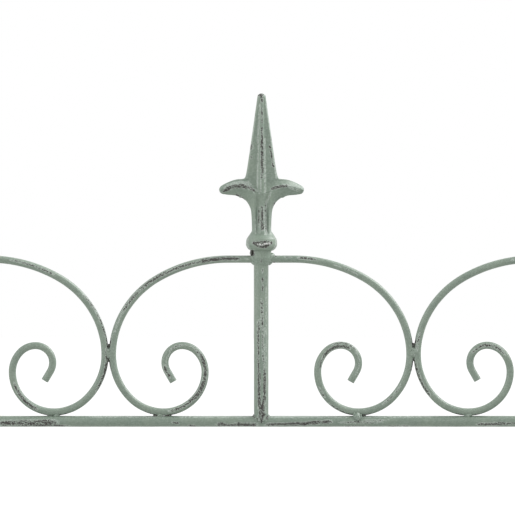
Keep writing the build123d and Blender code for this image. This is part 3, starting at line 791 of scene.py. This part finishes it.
def weld_collar(x, way, along, out, fullness, rng, bare=0.1):
    """Collar of weld from a scroll's end to the socket: along the arm and out over the socket's wall.

    The profile is a superellipse quarter: out * sin(t)^p and along * cos(t)^p. Both reaches vary round
    the arm, from the first value on top to the second underneath, and are half as much in front.
    """
    a = np.linspace(0, 2 * math.pi, 40, endpoint=False)[None, :]
    t = np.concatenate([[0.0], np.linspace(0, math.pi / 2, 15), [math.pi / 2]])[:, None]
    sunk = np.concatenate([[0.8], np.zeros(15), [0.0]])[:, None]
    under = (1 - np.cos(a)) / 2
    reach = ripples(a, t * 0.6, rng, 0.12) * (1 - 0.5 * np.sin(a) ** 2)
    r = SCROLL_R - 0.1 - sunk + (out[0] + (out[1] - out[0]) * under) * np.sin(t) ** fullness * reach
    d = (along[0] + (along[1] - along[0]) * under) * np.cos(t) ** fullness * reach
    z = ARM_Z + r * np.cos(a)
    y = r * np.sin(a) * 0.96
    wall = np.minimum(collar_radius(z - COLLAR_TOP_Z), SOCKET_R) - 0.1
    deep = np.concatenate([np.zeros(16), [1.5]])[:, None]
    from_axis = np.sqrt(np.clip(wall ** 2 - y ** 2, 4, None)) - 0.15 + d - deep
    points = np.stack([x + way * from_axis, y, z], axis=-1)
    return points, points, np.full(points.shape[:2], bare)


def weld_ring(x, way, rng, bare_and_shade_arcs):
    """Bead round a coped bar on the rail: a lumpy round of about 1 mm along the line where they meet.

    The line is z = rail axis +- sqrt(saddle radius^2 - y^2) on the bar's wall, and in front and behind
    it lies a little nearer the rail's axis. It is drawn as bare iron between the two angles of each arc,
    in degrees, which also paints shade in the notches beside the bar.
    """
    a = np.linspace(0, 2 * math.pi, 96, endpoint=False)
    y = -np.clip(RING_R * np.cos(a), -SADDLE_REACH, SADDLE_REACH)
    low = soft_step(np.abs(RING_R * np.cos(a)), 6.2, 7.6)
    z = RAIL_AXIS_Z + way * (np.sqrt(np.clip(SADDLE_R ** 2 - y ** 2, 0, None)) - 0.9 * low)
    path = np.stack([RING_R * np.sin(a) * (1 - 0.06 * low), y, z], axis=-1)
    run = np.roll(path, -1, axis=0) - np.roll(path, 1, axis=0)
    run /= np.linalg.norm(run, axis=1)[:, None]
    out = np.stack([np.sin(a), -np.cos(a), 0 * a], axis=-1)
    out -= (out * run).sum(1)[:, None] * run
    out /= np.linalg.norm(out, axis=1)[:, None]
    side = np.cross(run, out)
    b = np.linspace(0, 2 * math.pi, 16, endpoint=False)
    lumps = 1 + 0.16 * np.sin(7 * a + rng.uniform(0, 6)) + 0.12 * np.sin(13 * a + rng.uniform(0, 6))
    r = ((BEAD_R - 0.35 * low) * lumps)[:, None] * (1 + 0.08 * np.sin(3 * b[None, :] + 5 * a[:, None]))
    away = np.cos(b)[None, :, None] * out[:, None, :] + np.sin(b)[None, :, None] * side[:, None, :]
    points = path[:, None, :] + r[..., None] * away
    points[..., 0] += x
    bare = np.zeros(len(a))
    degrees = (np.degrees(a) + 180) % 360 - 180
    for first, last in bare_and_shade_arcs:
        within = soft_step(degrees, first - 6, first + 6) * soft_step(-degrees, -last - 6, -last + 6)
        bare = np.maximum(bare, within)
    return points, points, np.broadcast_to(bare[:, None], points.shape[:2]), True


# Weld metal under paint: smooth, lumpy and a little glossier than the bar, with painted shade in its crevices,
# drawn as bare iron.
weld_paint = rubbed_paint("Satin green paint on weld metal", False, (1.4, 1.4, 1.4), 1.6, 0.05, 0.36)

# The shown bay's welds: both reaches and the fullness of each collar, then each lump's middle from the
# upright's axis, its half sizes, how uneven it is and how bare, and last, how far the welds to the two
# next bays lie above the place where the scrolls touch
SHOWN_COLLARS = {"left": ((1.6, 2.8), (1.2, 3.0), 1.8), "right": ((4.2, 3.8), (3.2, 2.8), 0.9)}
# Lumps with a bareness of 1.0 and more are small dark lumps: painted shade in the crevices round the scrolls'
# feet and in the neck under the left collar
SHOWN_LUMPS = {
    "left": (
        ((-10.3, -2.2, 226.2), (2.0, 3.0, 3.4), 0.14, 1.2),
        ((-110.4, -0.6, 48.6), (3.4, 3.6, 2.6), 0.14, 0.12),
        ((-101.4, 0.2, 48.3), (3.6, 2.7, 1.7), 0.14, 1.3),
        ((-115.0, 0.2, 48.5), (3.2, 2.6, 1.6), 0.14, 1.3),
    ),
    "right": (
        ((105.0, -2.6, 46.4), (5.0, 4.5, 5.6), 0.10, 0.12),
        ((101.4, -4.6, 47.6), (1.2, 1.9, 4.8), 0.12, 0.0),
        ((109.0, -4.8, 46.0), (1.3, 2.0, 4.4), 0.12, 0.0),
        ((106.4, -6.3, 41.9), (1.5, 0.9, 1.0), 0.2, 1.0),
        ((102.8, -6.2, 42.3), (1.2, 0.8, 0.8), 0.2, 1.0),
        ((112.0, -1.0, 48.6), (2.6, 2.4, 1.6), 0.2, 1.2),
    ),
}
SHOWN_CONTACT_LIFTS = {SHOWN_BAY - 1: 1.4, SHOWN_BAY: 2.4}

for bay in range(BAY_COUNT):
    x = bay * BAY_PITCH
    rng = np.random.default_rng(900 + bay)
    # The arcs at the front left and right of this ring paint shade in the notches beside the upright's foot
    skins = [weld_ring(x, 1.0, rng, ((-82, -50), (44, 66), (-6, 12), (112, 128)))]
    for side, way in (("left", -1.0), ("right", 1.0)):
        if bay == SHOWN_BAY:
            skins.append(weld_collar(x, way, *SHOWN_COLLARS[side], rng))
            for (off, depth, height), size, reach, bare in SHOWN_LUMPS[side]:
                skins.append(weld_lump((x + off, depth, height), size, rng, reach, bare))
        else:
            top, under = rng.uniform(2.4, 3.8), rng.uniform(2.2, 5.8)
            skins.append(weld_collar(x, way, (top, under), (top, under), rng.uniform(1.2, 2.6), rng))
            shift, size = rng.uniform(-3, 3), rng.uniform(3.2, 5.2)
            foot, second = x + way * (FOOT_X + shift), x + way * (FOOT_X - shift * 1.3)
            skins.append(weld_lump((foot, rng.uniform(-1.5, 0.5), 48.4), (size, 3.7, 3.2), rng))
            # The half-dark lump beside each foot weld paints shade in the crevice there
            skins.append(weld_lump((second, 1.0, 48.2), (3.4, 2.8, 2.2), rng, bare=0.5))
    if bay < BAY_COUNT - 1:
        middle = x + BAY_PITCH / 2
        lift = rng.uniform(-1.6, 1.2)
        z = CONTACT_Z + SHOWN_CONTACT_LIFTS.get(bay, lift)
        skins.append(weld_lump((middle, 0.0, z), (6.4, 4.4, rng.uniform(5.8, 6.6)), rng, 0.08))
        skins.append(weld_lump((middle - 0.6, -3.6, z + 2.6), (1.6, 0.9, 1.5), rng, 0.2, 0.0))
        # Dark lumps at both ends of the weld between two bays: painted shade in the crevices where the scrolls
        # part
        for end in (-7.0, 8.2):
            skins.append(weld_lump((middle, 0.2, z + end), (1.5, 2.8, 2.4), rng, 0.1, 1.3))
    if bay in (0, BAY_COUNT - 1):
        skins.append(weld_ring(x, -1.0, rng, ((-60, -20), (100, 140))))
    welds = closed_skins(f"welds_{bay + 1}", skins)
    welds.data.materials.append(weld_paint)
    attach(welds, "root")
    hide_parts(f"weld_beads_{bay + 1}")


# Legs: two short pieces of the 16 mm bar under the first and last uprights, coped to the rail
# from below and sawn off flat where they stand. The edge at the foot is rubbed all round.

for side, bay in (("left", 0), ("right", BAY_COUNT - 1)):
    rng = np.random.default_rng(600 + bay)
    points, straight, heights = coped_bar(bay * BAY_PITCH, 30 + bay, 0.0)
    points[..., 2] = np.clip(points[..., 2], 0, None)
    strokes = chance_strokes(rng, 1, 34, 9) + [(0, 5, w, w, 9, 0.55) for w in (-120, 0, 120)]
    rub_and_painted_light = rub_on_bar(heights, UPRIGHT_R, strokes, UPRIGHT_COLUMNS, 6.0)
    leg = closed_skins(f"leg_bar_{side}", [(points, straight, rub_and_painted_light)])
    leg.data.materials.append(bar_paint)
    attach(leg, "root")
    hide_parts(f"leg_{side}")


# Stage: a plain pale floor that keeps the fence's shadow, and a white surround that the camera
# and the paint's gloss see, while a softer even light falls on the object.

FLOOR_GLOW = 0.75
LAMP_SPREAD = 50
LAMPS = (("Large soft lamp on the right", 2.7, 45, 98), ("Soft lamp on the left", 0.75, 20, -72))


def seen_rays(tree):
    """1 for rays of the camera, and 1 for those as well as rays off a gloss or through glass, else 0."""
    path = put(tree, "ShaderNodeLightPath")
    seen = path.outputs["Is Camera Ray"]
    for kind in ("Is Glossy Ray", "Is Transmission Ray"):
        seen = put(tree, "ShaderNodeMath", {0: seen, 1: path.outputs[kind]}, operation="MAXIMUM").outputs[0]
    return path.outputs["Is Camera Ray"], seen


floor_mesh = bpy.data.meshes.new("floor")
floor_x, floor_y = np.meshgrid(np.linspace(-5, 7, 3), np.linspace(-6, 6, 3))
floor_points = np.stack([floor_x.ravel(), floor_y.ravel(), np.zeros(9)], axis=-1)
cell = np.arange(9).reshape(3, 3)
floor_faces = np.stack([cell[:-1, :-1], cell[:-1, 1:], cell[1:, 1:], cell[1:, :-1]], axis=-1).reshape(-1, 4)
floor_mesh.from_pydata(floor_points.tolist(), [], floor_faces.tolist())
floor = bpy.data.objects.new("floor", floor_mesh)
bpy.context.scene.collection.objects.link(floor)

floor_white = bpy.data.materials.new("White studio floor")
floor_white.use_nodes = True
tree = floor_white.node_tree
tree.nodes.clear()
camera_ray, seen = seen_rays(tree)
part = put(tree, "ShaderNodeMath", {0: seen, 1: FLOOR_GLOW}, operation="MULTIPLY")
pale = put(tree, "ShaderNodeMix", {
    0: camera_ray, 6: linear("#c4c4c2"), 7: linear("#ffffff")}, data_type="RGBA").outputs[2]
matt = put(tree, "ShaderNodeBsdfDiffuse", {"Color": pale})
bright = put(tree, "ShaderNodeEmission", {"Color": linear("#ffffff"), "Strength": 1.0})
both = put(tree, "ShaderNodeMixShader", {0: part.outputs[0], 1: matt.outputs[0], 2: bright.outputs[0]})
put(tree, "ShaderNodeOutputMaterial", {"Surface": both.outputs[0]})
floor_mesh.materials.append(floor_white)

world = bpy.data.worlds.new("White surround")
bpy.context.scene.world = world
world.use_nodes = True
tree = world.node_tree
tree.nodes.clear()
camera_ray, seen = seen_rays(tree)
soft = put(tree, "ShaderNodeBackground", {"Color": linear("#ffffff"), "Strength": 0.70})
white = put(tree, "ShaderNodeBackground", {"Color": linear("#ffffff"), "Strength": 1.0})
both = put(tree, "ShaderNodeMixShader", {0: seen, 1: soft.outputs[0], 2: white.outputs[0]})
put(tree, "ShaderNodeOutputWorld", {"Surface": both.outputs[0]})

for name, energy, elevation, azimuth in LAMPS:
    lamp = bpy.data.lights.new(name, "SUN")
    lamp.energy = energy
    lamp.angle = math.radians(LAMP_SPREAD)
    lamp_object = bpy.data.objects.new(name, lamp)
    lamp_object.rotation_euler = (math.radians(90 - elevation), 0, math.radians(azimuth))
    bpy.context.scene.collection.objects.link(lamp_object)


# Camera: far off and level with the middle of the fence, as in the photograph, on the third bay.
# Its axis passes 4 mm to the left of that bay's upright.

IMAGE_WIDTH = 0.5625
CAMERA_DISTANCE = 4.0
CAMERA_SHIFT, CAMERA_HEIGHT = -0.004, 0.2209
camera = bpy.data.cameras.new("camera")
camera.sensor_width = 36.0
camera.lens = 36.0 * CAMERA_DISTANCE / IMAGE_WIDTH
camera.clip_end = 50
camera_object = bpy.data.objects.new("camera", camera)
camera_object.location = (shown_x * MM + CAMERA_SHIFT, -CAMERA_DISTANCE, CAMERA_HEIGHT)
camera_object.rotation_euler = (math.radians(90), 0, 0)
bpy.context.scene.collection.objects.link(camera_object)
bpy.context.scene.camera = camera_object
bpy.context.scene.view_settings.view_transform = "Standard"
